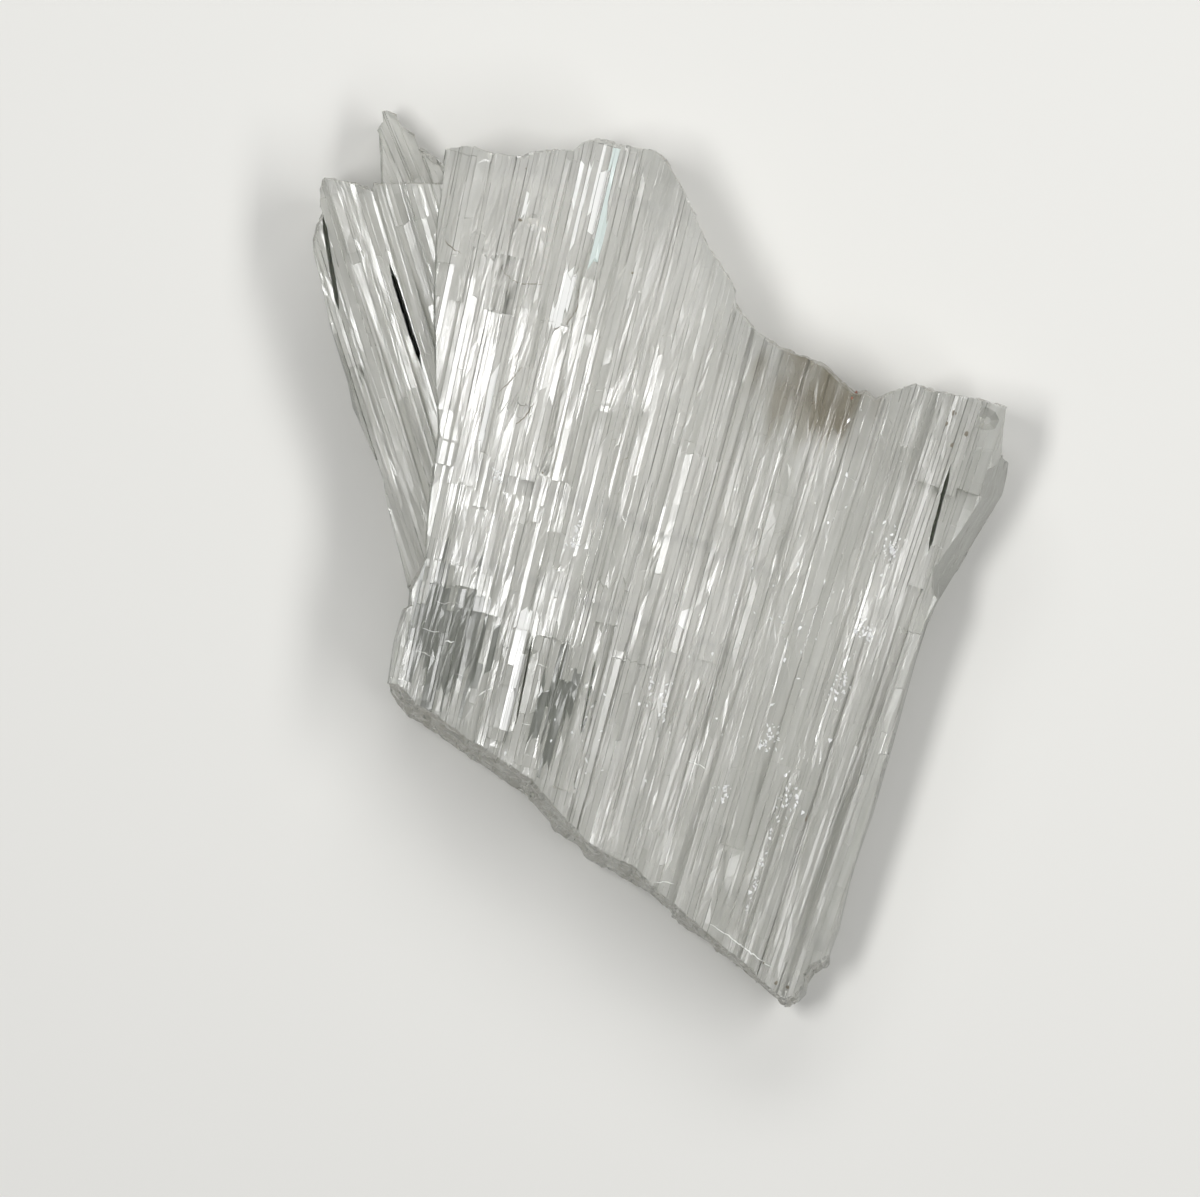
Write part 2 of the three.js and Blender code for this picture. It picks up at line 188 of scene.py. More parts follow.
# Fine cracks: their finish, their width, in millimetres, and the ground-plan points that they pass
FINE_CRACKS = (
    ("satin", 0.07, ((-13.37, -2.55), (-12.9, -2.7), (-12.3, -2.6), (-11.9, -2.75))),
    ("veiled", 0.06, ((-14.15, -4.16), (-13.6, -4.35), (-13.2, -4.36))),
    ("veiled", 0.08, ((-12.83, -4.88), (-12.29, -5.0))),
    ("satin", 0.07, ((-14.48, -5.48), (-14.0, -5.65), (-13.3, -6.1))),
    ("satin", 0.06, ((-12.29, -6.86), (-11.63, -7.01))),
    ("veiled", 0.08, ((-11.03, -8.18), (-10.13, -7.7))),
    ("veiled", 0.06, ((-9.59, -4.4), (-9.3, -4.9), (-9.4, -5.1), (-9.05, -5.4))),
    ("veiled", 0.06, ((-7.37, -6.26), (-6.65, -6.5))),
    ("veiled", 0.06, ((-8.42, -9.68), (-7.79, -9.92))),
    ("veiled", 0.07, ((1.6, -12.0), (2.7, -12.5))),
    ("veiled", 0.07, ((-0.5, -19.3), (0.2, -19.2), (0.75, -19.4))),
    ("veiled", 0.09, ((2.95, -21.75), (4.6, -22.9), (6.6, -24.4))),
    ("dirt", 0.07, ((-9.65, 9.82), (-9.2, 10.2), (-8.27, 11.32))),
    ("dirt", 0.07, ((-8.69, 7.84), (-8.1, 8.3), (-7.55, 9.22))),
    ("dirt", 0.05, ((-9.47, 17.2), (-8.99, 16.6), (-8.51, 16.3), (-6.83, 16.18))),
    ("dirt", 0.06, ((-4.9, 16.0), (-4.95, 14.9), (-5.7, 13.7), (-6.5, 13.55))),
    ("dirt", 0.05, ((-1.9, 6.1), (-2.5, 5.5))),
    ("dirt", 0.06, ((-12.9, 18.9), (-12.3, 18.3), (-11.9, 18.1))),
)

# Specks: their finish, their place on the ground plan, their length along the plate's fibres and their width
SPECKS = (
    ("dirt", -1.73, 16.9, 0.2, 0.16),
    ("dirt", -7.04, 5.05, 0.16, 0.12),
    ("dirt", -8.4, 20.05, 0.18, 0.36),
    ("dirt", 17.35, 8.62, 0.5, 0.36),
    ("dirt", 18.1, 7.4, 0.4, 0.3),
    ("dirt", 17.3, 6.7, 0.36, 0.42),
    ("dirt", 16.9, 8.0, 0.3, 0.3),
    ("rust", 11.6, 9.85, 0.36, 0.18),
    ("rust", 11.3, 9.5, 0.2, 0.16),
    ("dirt", 8.95, 9.2, 0.16, 0.16),
    ("dirt", 6.85, -25.3, 0.3, 0.24),
    ("dirt", 7.55, -25.6, 0.22, 0.3),
    ("dirt", 6.1, -24.1, 0.16, 0.2),
    ("dirt", 8.6, -15.4, 0.7, 0.14),
    ("dirt", -8.0, 23.1, 0.18, 0.14),
    ("broken", -7.85, 20.0, 0.4, 1.0),
    ("broken", -7.3, 19.85, 0.5, 0.8),
    ("broken", -6.9, 19.5, 0.5, 0.4),
)

# The studio: each softbox's name, place and size, in millimetres, and power in watts, then the room's own light
SOFTBOXES = (
    ("key", (-95, 15, 260), (110, 45), 0.38),
    ("fill", (160, -10, 220), (300, 60), 0.45),
    ("back", (0, 240, 180), (220, 90), 0.32),
)
ROOM_COLOUR, ROOM_STRENGTH = (0.55, 0.57, 0.6), 0.25
FLOOR_GAP = 0.05  # between the floor and the crystal, in millimetres
CAMERA_PLACE = (-3.65, -2.39, 450.0)  # in millimetres
SENSOR = 36  # width, in millimetres
EDGE_HEIGHT = 2.6  # of the crystal's widest edge above the floor, in millimetres


def linear(code):
    """A linear colour from an sRGB hex code."""
    parts = [int(code[i : i + 2], 16) / 255 for i in (1, 3, 5)]
    return tuple(c / 12.92 if c <= 0.04045 else ((c + 0.055) / 1.055) ** 2.4 for c in parts)


def add_node(tree, kind, links=None, **settings):
    """Adds a node with its settings. links holds a value or another node's socket for each input."""
    made = tree.nodes.new(kind)
    for name, value in settings.items():
        setattr(made, name, value)
    for name, value in (links or {}).items():
        socket = made.inputs[name]
        if isinstance(value, bpy.types.NodeSocket):
            tree.links.new(value, socket)
        else:
            socket.default_value = value
    return made


def lattice_noise(points, seed):
    """Smooth random values from -1 to 1 at the rows of points, with one change per unit of length."""
    cell = np.floor(points).astype(np.int64)
    part = points - cell
    ease = part * part * (3 - 2 * part)
    total = np.zeros(len(points))
    for corner in np.ndindex(2, 2, 2):
        at = cell + corner
        mixed = at[:, 0] * 374761393 + at[:, 1] * 668265263 + at[:, 2] * 2246822519 + seed * 3266489917
        mixed = (mixed ^ (mixed >> 13)) * 1274126177
        mixed = (mixed ^ (mixed >> 16)) & 0xFFFF
        weight = np.prod(np.where(corner, ease, 1 - ease), axis=1)
        total += weight * (mixed / 32767.5 - 1)
    return total


def random_of(whole, seed):
    """A random value from -1 to 1 for each row of whole numbers."""
    mixed = whole @ np.array([374761393, 668265263, 2246822519]) + seed * 3266489917
    mixed = (mixed ^ (mixed >> 13)) * 1274126177
    mixed = (mixed ^ (mixed >> 16)) & 0xFFFF
    return mixed / 32767.5 - 1


def lath_steps(fibre, width, length, seed):
    """A random level from -1 to 1 for each stretch of each lath, with laths of that width and length."""
    column = np.floor(fibre[:, :2] / width).astype(np.int64)
    lath = np.stack([column[:, 0], column[:, 1], np.zeros(len(fibre), np.int64)], axis=1)
    stretch = length * (1 + 0.5 * random_of(lath, seed))
    lath[:, 2] = np.floor(fibre[:, 2] / stretch + 7 * random_of(lath, seed + 1)).astype(np.int64)
    return random_of(lath, seed + 2)


class Laths:
    """The laths of one crystal, each split into facets along its length, in millimetres."""

    def __init__(self, name, facet):
        self.name = name
        self.seed = SEED + 100 * list(FANS).index(name)
        draw = np.random.default_rng(self.seed)
        low, high = REACH[name]
        widths = LATH_WIDTH * np.exp(LATH_SPREAD * draw.standard_normal(int((high - low) / 0.12)))
        widths = np.clip(widths, LATH_NARROWEST, LATH_WIDEST)
        left = low + np.cumsum(widths + STEP_WIDTH) - widths
        self.left = left[left < high]
        self.right = (left + widths)[left < high]
        lengths = facet * draw.uniform(0.6, 1.4, int((LENGTHS[1] - LENGTHS[0]) / facet))
        self.lower = LENGTHS[0] + np.cumsum(lengths + FACET_STEP) - lengths
        self.upper = self.lower + lengths

    def cell(self, t, a):
        """The numbers of the lath and the facet at places across and along the fibres."""
        lath = np.clip(np.searchsorted(self.left, t + 1e-4) - 1, 0, len(self.left) - 2)
        facet = np.clip(np.searchsorted(self.lower, a + 1e-4) - 1, 0, len(self.lower) - 2)
        return lath, facet

    def middle(self, lath, facet):
        """The middle of each facet, across and along the fibres."""
        return (self.left[lath] + self.right[lath]) / 2, (self.lower[facet] + self.upper[facet]) / 2

    def stretch(self, lath, facet, bundle, length, order):
        """A row of whole numbers for the stretch of the bundle of laths that each facet belongs to."""
        key = np.stack([lath // bundle, np.full_like(lath, bundle), np.zeros_like(lath)], axis=1)
        long = length * (1 + 0.5 * random_of(key, self.seed + order))
        along = self.middle(lath, facet)[1] / long + 7 * random_of(key, self.seed + order + 1)
        key[:, 2] = np.floor(along).astype(np.int64)
        return key

    def slide(self, t, a):
        """How far each place slides along its lath's edge, so that the laths end raggedly."""
        edge = np.searchsorted(np.sort(np.concatenate([self.left, self.right])), t + STEP_WIDTH / 2)
        rows = np.stack([edge.astype(float), np.full(len(t), float(self.seed)), a / RAGGED_LENGTH], axis=1)
        return RAGGED * lattice_noise(rows, self.seed)

    def zones(self, lath, facet):
        """The share of the usual relief, the roll and the veil of each facet by the zone that it lies in."""
        t, a = self.middle(lath, facet)
        a = a + ZONE_RAGGED * random_of(np.stack([lath, lath // 3, lath // 7], axis=1), self.seed + 90)
        relief, roll, veil = np.ones(len(t)), np.zeros(len(t)), np.zeros(len(t))
        if self.name == "plate":
            for zone_t, zone_a, wide, long, share, turn, haze in ZONES:
                near = np.exp(-(((t - zone_t) / wide) ** 2) - ((a - zone_a) / long) ** 2)
                relief += (share - 1) * near
                roll += turn * near
                veil += haze * near
        return relief, roll, veil

    def splinters(self, lath, facet):
        """Which splinter each facet belongs to, or -1."""
        t, a = self.middle(lath, facet)
        found = np.full(len(t), -1)
        if self.name == "plate":
            for number, (_, t_start, a_start, t_end, a_end, width, *_) in enumerate(SPLINTERS):
                part = (a - a_start) / (a_end - a_start)
                line = t_start + (t_end - t_start) * part
                found[(part > 0) & (part < 1) & (np.abs(t - line) < width / 2)] = number
        return found

    def level(self, lath, facet, t):
        """The height of each facet's plane at a place on it or on its edge."""
        relief, roll, _ = self.zones(lath, facet)
        level = np.zeros(len(lath))
        for bundle, length, rise, turn, order in BUNDLES:
            key = self.stretch(lath, facet, bundle, length, order)
            level += rise * relief * random_of(key, self.seed + order + 2)
            roll += turn * relief * random_of(key, self.seed + order + 3)
        found = self.splinters(lath, facet)
        for number, (*_, height, turn, _) in enumerate(SPLINTERS):
            level[found == number] = height
            roll[found == number] = turn
        roll += 0.8 * random_of(np.stack([lath, facet, np.zeros_like(lath)], axis=1), self.seed + 50)
        across = np.clip(t, self.left[lath], self.right[lath]) - self.middle(lath, facet)[0]
        return level + across * np.tan(np.radians(roll))

    def painted_step_shade(self, lath, facet):
        """How much painted shade darkens the step beside each facet: most steps stay bright, some are shaded for a
        stretch.
        """
        relief, _, _ = self.zones(lath, facet)
        level = random_of(self.stretch(lath, facet, 1, 7, 80), self.seed + 82)
        return np.clip(relief, 0.3, 1.3) * np.clip(level - 0.3, 0, 0.6)

    def veil(self, lath, facet):
        """How veiled with fine cracks each facet is."""
        relief, _, veil = self.zones(lath, facet)
        veil += 0.15 * relief * random_of(self.stretch(lath, facet, 3, 14, 60), self.seed + 62)
        veil += 0.35 * relief * random_of(self.stretch(lath, facet, 1, 8, 70), self.seed + 72)
        return veil


def crystal_of(points):
    """The name of the crystal that each point, in millimetres, belongs to."""
    x, y, z = points.T
    seam = np.interp(y, SEAM_Y, SEAM_X)
    horn = (y > HORN_STARTS) & (x < seam)
    blade = (y > SEAM_Y[0]) & (x < seam + SEAM_WALL) & (z < BLADE_HIGHEST)
    return np.where(horn, "horn", np.where(blade, "blade", "plate"))


def broken_and_cleaved(normal, names):
    """Which places of the walls broke across the fibres, and which cleaved along them."""
    lean = np.radians([FANS[name]["lean"] for name in names])
    across = np.abs(normal[:, 0] * np.sin(lean) + normal[:, 1] * np.cos(lean)) > 0.45
    walls = np.abs(normal[:, 2]) < 0.5
    return walls & across, walls & ~across


def fibre_place(fan, x, y):
    """How far across and along a crystal's fibres the ground-plan points are, in millimetres."""
    lean = math.radians(fan["lean"])
    from_x, from_y = x - fan["centre"][0], y - fan["centre"][1]
    spread = np.arctan2(from_x + fan["radius"] * math.sin(lean), from_y + fan["radius"] * math.cos(lean))
    return fan["radius"] * (spread - lean), from_x * math.sin(lean) + from_y * math.cos(lean)


def cut_planes(fan, across, along):
    """Planes across and along a crystal's fibres, each with its place, a point in metres and its normal."""
    lean = math.radians(fan["lean"])
    middle = Vector((*fan["centre"], 0))
    grain = Vector((math.sin(lean), math.cos(lean), 0))
    apex = middle - grain * fan["radius"]
    ends = [(place, (middle + grain * place) * MM, grain) for place in along]
    sides = []
    for place in across:
        angle = lean + place / fan["radius"]
        fibre = Vector((math.sin(angle), math.cos(angle), 0))
        sides.append((place, (apex + fibre * fan["radius"]) * MM, Vector((fibre.y, -fibre.x, 0))))
    return ends, sides


def plate_point(t, a):
    """The ground-plan point, in millimetres, t across and a along the plate's fibres."""
    fan = FANS["plate"]
    lean = math.radians(fan["lean"])
    reach = (fan["radius"] + a) * math.tan(t / fan["radius"])
    x = fan["centre"][0] + a * math.sin(lean) + reach * math.cos(lean)
    return x, fan["centre"][1] + a * math.cos(lean) - reach * math.sin(lean)


def keep_marks(data, marks):
    """Keeps the stain, the painted shade of the steps and the veil of every face corner on the mesh."""
    attribute = data.attributes.new("marks", "FLOAT_VECTOR", "CORNER")
    attribute.data.foreach_set("vector", marks.ravel().astype(np.float32))


def slice_faces(mesh, faces, planes, place):
    """Cuts the faces where the planes cross them. Each plane is a place, a point and a normal, in rising order
    of place, and place(points) says how far along that order points in millimetres are."""
    counts = [len(face.verts) for face in faces]
    corners = np.array([vert.co for face in faces for vert in face.verts]) / MM
    starts = np.minimum.reduceat(place(corners), np.cumsum([0, *counts[:-1]]))
    order = np.argsort(starts, kind="stable")
    crossed, coming = [], 0
    for at, point, normal in planes:
        while coming < len(order) and starts[order[coming]] < at:
            crossed.append(faces[order[coming]])
            coming += 1
        near = {part for face in crossed for part in (face, *face.edges, *face.verts)}
        cut = bmesh.ops.bisect_plane(mesh, geom=list(near), dist=1e-7, plane_co=point, plane_no=normal)
        pieces = [part for part in cut["geom"] if isinstance(part, bmesh.types.BMFace)]
        crossed = [face for face in pieces if max((v.co - point).dot(normal) for v in face.verts) > 1e-7]


class CrystalSettings(bpy.types.PropertyGroup):
    """Sizes of the facets and layers of the crystal."""

    facet: bpy.props.FloatProperty(
        name="Facet", description="Length of one facet of a stria", default=1.0 * MM, unit="LENGTH", precision=6
    )
    layer: bpy.props.FloatProperty(
        name="Layer", description="Height of a layer on the broken sides", default=0.45 * MM, unit="LENGTH",
        precision=6,
    )


class StageSettings(bpy.types.PropertyGroup):
    """The studio around the crystal."""

    floor: bpy.props.FloatVectorProperty(
        name="Floor", description="Colour of the floor", default=linear("#D6D5D1"), subtype="COLOR"
    )
    frame_width: bpy.props.FloatProperty(
        name="Frame width", description="Width of the picture at the crystal's edge", default=72 * MM, unit="LENGTH"
    )


def probertite(finish):
    """Probertite, a clear borate with perfect cleavage: glassy facets, hazed by fine cracks along its fibres.
    The specks of dirt and rust have the same make-up, but let no light through."""
    low, high, passing, smooth, rough, sizes, strength = FINISHES[finish]
    material = bpy.data.materials.new(finish if finish in SPECK_MATERIALS else f"probertite_{finish}")
    material.use_nodes = True
    tree = material.node_tree
    tree.nodes.clear()
    fibre = add_node(tree, "ShaderNodeAttribute", attribute_name="fibre")
    marks = add_node(tree, "ShaderNodeAttribute", attribute_name="marks")
    mark = add_node(tree, "ShaderNodeSeparateXYZ", {"Vector": marks.outputs["Vector"]})
    streak_place = add_node(
        tree, "ShaderNodeMapping", {"Vector": fibre.outputs["Vector"], "Scale": tuple(1 / size for size in STREAK_SIZE)}
    )
    streak = add_node(
        tree, "ShaderNodeTexNoise", {"Vector": streak_place.outputs["Vector"], "Scale": 1.0, "Detail": 3.0}
    )
    haze = add_node(
        tree,
        "ShaderNodeMath",
        {0: streak.outputs["Fac"], 1: 0.5, 2: mark.outputs["Z"]},
        operation="MULTIPLY_ADD",
    )
    tone = add_node(tree, "ShaderNodeValToRGB", {"Fac": haze.outputs["Value"]})
    tone.color_ramp.elements[0].position = 0.1
    tone.color_ramp.elements[0].color = (*linear(low), 1)
    tone.color_ramp.elements[1].position = 1.0
    tone.color_ramp.elements[1].color = (*linear(high), 1)
    stained = add_node(
        tree,
        "ShaderNodeMixRGB",
        {"Fac": mark.outputs["X"], "Color1": tone.outputs["Color"], "Color2": (*linear(STAIN_COLOUR), 1)},
    )
    # Painted shade: darkens the steps between laths and the grooves of the dark splinters
    painted_shade_mix = add_node(
        tree,
        "ShaderNodeMixRGB",
        {"Fac": mark.outputs["Y"], "Color1": stained.outputs["Color"], "Color2": (*linear(PAINTED_SHADE_COLOUR), 1)},
    )
    ripple_place = add_node(
        tree, "ShaderNodeMapping", {"Vector": fibre.outputs["Vector"], "Scale": tuple(1 / size for size in sizes)}
    )
    ripple = add_node(
        tree, "ShaderNodeTexNoise", {"Vector": ripple_place.outputs["Vector"], "Scale": 1.0, "Detail": 2.0}
    )
    bump = add_node(
        tree, "ShaderNodeBump", {"Height": ripple.outputs["Fac"], "Strength": strength, "Distance": sizes[0] * MM / 4}
    )
    gloss = add_node(
        tree, "ShaderNodeMapRange", {"Value": streak.outputs["Fac"], "To Min": smooth, "To Max": rough}
    )
    shader = add_node(
        tree,
        "ShaderNodeBsdfPrincipled",
        {
            "Base Color": painted_shade_mix.outputs["Color"],
            "Roughness": gloss.outputs["Result"],
            "Normal": bump.outputs["Normal"],
            "IOR": IOR,
            "Transmission Weight": passing,
        },
    )
    if finish == "glinting":
        shader.inputs["Thin Film Thickness"].default_value = THIN_FILM
        shader.inputs["Thin Film IOR"].default_value = 1.0
    absorb = add_node(
        tree,
        "ShaderNodeVolumeAbsorption",
        {"Color": (*linear(ABSORPTION_COLOUR), 1), "Density": ABSORPTION_DENSITY},
    )
    out = add_node(
        tree,
        "ShaderNodeOutputMaterial",
        {"Surface": shader.outputs["BSDF"], "Volume": absorb.outputs["Volume"]},
    )
    out.location = (600, 0)
    return material


def floor_paper(settings):
    """Matt pale backdrop paper, plain and even to the eye."""
    material = bpy.data.materials.new("backdrop_paper")
    material.use_nodes = True
    shader = material.node_tree.nodes["Principled BSDF"]
    shader.inputs["Base Color"].default_value = (*settings.floor, 1)
    shader.inputs["Roughness"].default_value = 0.9
    return material


class OBJECT_OT_probertite_crystal(bpy.types.Operator):
    """Split the crystal into striae and give it its finish"""

    bl_idname = "object.probertite_crystal"
    bl_label = "Probertite Crystal"

    def execute(self, context):
        settings = context.scene.probertite_crystal
        bpy.ops.object.select_all(action="DESELECT")
        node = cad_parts[NODE]
        context.view_layer.objects.active = node
        node.select_set(True)
        bpy.ops.object.duplicate()
        piece = context.view_layer.objects.active
        piece.name = "probertite"
        piece.parent = None
        for key in list(piece.keys()):
            del piece[key]
        bpy.ops.object.mode_set(mode="EDIT")
        bpy.ops.mesh.select_all(action="SELECT")
        bpy.ops.mesh.remove_doubles(threshold=1e-6)
        bpy.ops.mesh.dissolve_limited(angle_limit=math.radians(0.2))
        bpy.ops.object.mode_set(mode="OBJECT")
        self.cut_striae(piece, settings)
        self.set_striae(piece, settings)
        self.set_finish(piece, settings)
        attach(piece, "root")
        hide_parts(NODE)
        return {"FINISHED"}

    def cut_striae(self, piece, settings):
        """Cuts every face of the solid along the fibres of the crystal that it belongs to, and across them."""
        mesh = bmesh.new()
        mesh.from_mesh(piece.data)
        walls = [f for f in mesh.faces if abs(f.normal.z) < 0.5]
        walls = [f for f in walls if max(v.co.z for v in f.verts) - min(v.co.z for v in f.verts) > 0.6 * MM]
        heights = np.arange(CAD_BOX[0][2] + settings.layer, CAD_BOX[1][2], settings.layer)
        planes = [(z / MM, Vector((0, 0, z)), Vector((0, 0, 1))) for z in heights]
        slice_faces(mesh, walls, planes, lambda points: points[:, 2])
        for name, fan in FANS.items():
            faces = self.faces_of(mesh, name)
            corners = np.array([v.co for f in faces for v in f.verts]) / MM
            across, along = fibre_place(fan, corners[:, 0], corners[:, 1])
            laths = Laths(name, settings.facet / MM)
            side_places = np.sort(np.concatenate([laths.left, laths.right]))
            side_places = side_places[(side_places > across.min()) & (side_places < across.max())]
            end_places = np.sort(np.concatenate([laths.lower, laths.upper]))
            end_places = end_places[(end_places > along.min()) & (end_places < along.max())]
            ends, sides = cut_planes(fan, side_places, end_places)
            slice_faces(mesh, faces, ends, lambda points: fibre_place(fan, points[:, 0], points[:, 1])[1])
            faces = self.faces_of(mesh, name)
            slice_faces(mesh, faces, sides, lambda points: fibre_place(fan, points[:, 0], points[:, 1])[0])
        bmesh.ops.triangulate(mesh, faces=mesh.faces[:])
        mesh.to_mesh(piece.data)
        mesh.free()
        piece.data.update()

    def faces_of(self, mesh, name):
        """The faces of one crystal that are cut into striae: all but the flat base."""
        faces = [f for f in mesh.faces if f.normal.z > -0.9 or f.calc_center_median().z > 0.1 * MM]
        places = np.array([f.calc_center_median() for f in faces]) / MM
        return [f for f, crystal in zip(faces, crystal_of(places)) if crystal == name]

    def set_striae(self, piece, settings):
        """Sets the laths at their small steps and rolls, and keeps the fibre coordinates of every point."""
        data = piece.data
        count = len(data.vertices)
        place = np.empty(count * 3)
        data.vertices.foreach_get("co", place)
        place = place.reshape(-1, 3)
        normal = np.array([v.vector for v in data.vertex_normals])
        x, y, z = (place / MM).T
        names = crystal_of(place / MM)
        fibre = np.zeros((count, 3))
        height = np.zeros(count)
        for offset, (name, fan) in enumerate(FANS.items()):
            mine = names == name
            t, a = fibre_place(fan, x[mine], y[mine])
            fibre[mine] = np.stack([t + 100 * offset, z[mine], a], axis=1)
            height[mine] = self.lath_heights(name, t, a, settings)
        loose = self.loose_points(data, place, normal)
        for offset, (name, fan) in enumerate(FANS.items()):
            mine = names == name
            lean = math.radians(fan["lean"])
            slide = Laths(name, settings.facet / MM).slide(fibre[mine, 0] - 100 * offset, fibre[mine, 2])
            place[mine, 0] += MM * slide * loose[mine] * math.sin(lean)
            place[mine, 1] += MM * slide * loose[mine] * math.cos(lean)
        breaks, sides = broken_and_cleaved(normal, names)
        height[breaks | sides] = 0
        for rise, width, length, order in BREAK_STEPS:
            height[breaks] += rise * lath_steps(fibre[breaks], width, length, SEED + order)
        height[breaks] += BREAK_UNEVEN * lattice_noise(place[breaks] / (BREAK_UNEVEN_SIZE * MM), SEED + 30)
        for rise, width, length, order in SHEET_STEPS:
            height[sides] += rise * lath_steps(fibre[sides] * (0, 1, 1), width, length, SEED + order)
        height[z < 0.05] = 0
        place += normal * height[:, None] * MM
        low, high = np.array(CAD_BOX[0]), np.array(CAD_BOX[1])
        place = np.clip(place, low, high)
        data.vertices.foreach_set("co", place.ravel())
        attribute = data.attributes.new("fibre", "FLOAT_VECTOR", "POINT")
        attribute.data.foreach_set("vector", fibre.ravel().astype(np.float32))
        data.update()

    def loose_points(self, data, place, normal):
        """How freely each point may slide along the fibres: 1 inside a flat top, 0 on its edges."""
        corners = np.array([p.vertices[:] for p in data.polygons])
        upward = np.array([p.normal.z for p in data.polygons]) > 0.9
        ring = np.ones(len(place))
        ring[corners[~upward].ravel()] = 0
        edge = np.intersect1d(corners[~upward], corners[upward])
        surface = BVHTree.FromPolygons(place.tolist(), corners.tolist())
        rim = [point for point in edge if self.falls_away(surface, place[point], normal[point])]
        near = KDTree(len(rim))
        for number, point in enumerate(rim):
            near.insert(place[point], number)
        near.balance()
        reach = np.array([near.find(point)[2] for point in place]) / MM
        for share in (0.3, 0.7):
            least = np.ones(len(ring))
            np.minimum.at(least, corners.ravel(), np.repeat(ring[corners].min(axis=1), 3))
            ring = np.minimum(ring, np.where(least < share, share * (ring > 0), 1))
        return ring * np.clip(0.4 * reach / RAGGED, 0, 1)

    def falls_away(self, surface, point, normal):
        """Whether the surface just outside a point of an edge lies far below it."""
        beside = Vector(point) + Vector((normal[0], normal[1], 0)).normalized() * 0.2 * MM
        hit = surface.ray_cast(beside + Vector((0, 0, 1)), Vector((0, 0, -1)))[0]
        return hit is None or hit.z < point[2] - 0.5 * MM

    def lath_heights(self, name, t, a, settings):
        """How high the laths of a crystal stand at places across and along its fibres, in millimetres."""
        laths = Laths(name, settings.facet / MM)
        lath, facet = laths.cell(t, a)
        step = np.clip((t - laths.right[lath]) / STEP_WIDTH, 0, 1)
        end = np.clip((a - laths.upper[facet]) / FACET_STEP, 0, 1)
        near = laths.level(lath, facet, t)
        beside = laths.level(lath + 1, facet, t)
        beyond = laths.level(lath, facet + 1, t)
        both = laths.level(lath + 1, facet + 1, t)
        return (1 - end) * ((1 - step) * near + step * beside) + end * ((1 - step) * beyond + step * both)

    def in_cracks(self, data, centre, normal):
        """Which faces are walls of a narrow crack, with the other wall close before them."""
        points = [vertex.co for vertex in data.vertices]
        surface = BVHTree.FromPolygons(points, [face.vertices for face in data.polygons])
        found = np.zeros(len(centre), bool)
        for face in np.flatnonzero(np.abs(normal[:, 2]) < 0.5):
            out = Vector(normal[face])
            start = (Vector(centre[face]) + out * 0.01) * MM
            found[face] = surface.ray_cast(start, out, CRACK_WIDTH * MM)[0] is not None
        return found

    def set_finish(self, piece, settings):
        """Gives every face its finish, and every point its stain and its painted shade."""
        data = piece.data
        data.materials.clear()
        for finish in FINISHES:
            data.materials.append(probertite(finish))
        fibre = np.empty(len(data.vertices) * 3, np.float32)
        data.attributes["fibre"].data.foreach_get("vector", fibre)
        fibre = fibre.reshape(-1, 3).astype(float)
        corners = np.array([p.vertices[:] for p in data.polygons])
        centre = np.array([p.center[:] for p in data.polygons]) / MM
        normal = np.array([p.normal[:] for p in data.polygons])
        names = crystal_of(centre)
        slots = np.zeros(len(data.polygons), np.int32)
        haze = np.zeros(len(data.vertices))
        shade = np.zeros(len(data.polygons))
        finishes = list(FINISHES)
        for name, fan in FANS.items():
            laths = Laths(name, settings.facet / MM)
            mine = names == name
            across, along = fibre_place(fan, centre[mine, 0], centre[mine, 1])
            lath, facet = laths.cell(across, along)
            veil = laths.veil(lath, facet)
            slot = np.where(veil > 0.9, finishes.index("veiled"), finishes.index("satin"))
            slot = np.where(veil < -0.7, finishes.index("clear"), slot)
            # Painted shade on the step beside each facet, and on the grooves of the dark splinters
            dark = np.where(across > laths.right[lath], laths.painted_step_shade(lath, facet), 0)
            found = laths.splinters(lath, facet)
            for number, (finish, *_, painted_dark_share) in enumerate(SPLINTERS):
                slot[found == number] = finishes.index(finish)
                dark[found == number] = painted_dark_share
                veil[found == number] = 1 if painted_dark_share == 0 else -1
            slots[mine] = slot
            shade[mine] = dark
            np.add.at(haze, corners[mine].ravel(), np.repeat(0.5 + 0.5 * np.clip(veil, -1, 1), 3))
        haze /= np.bincount(corners.ravel(), minlength=len(haze))
        breaks, sides = broken_and_cleaved(normal, names)
        slots[breaks] = finishes.index("broken")
        slots[sides] = finishes.index("cleaved")
        slots[normal[:, 2] < -0.5] = finishes.index("satin")
        # Painted light: the walls of narrow cracks take the pale veiled finish, so the shaded groove reads lighter
        slots[self.in_cracks(data, centre, normal)] = finishes.index("veiled")
        shade[breaks | sides] = 0
        data.polygons.foreach_set("material_index", slots)
        t, z, a = fibre.T
        edge = ((t - STAIN[0]) / STAIN[2]) ** 2 + ((a - STAIN[1]) / STAIN[3]) ** 2
        edge += 0.7 * lattice_noise(fibre / (0.8, 0.8, 2.0), SEED + 5)
        stain = np.clip(1.3 - edge, 0, 1) * STAIN[4]
        marks = np.stack([stain[corners], np.repeat(shade[:, None], 3, axis=1), haze[corners]], axis=2)
        keep_marks(data, marks.reshape(-1, 3))
        data.update()


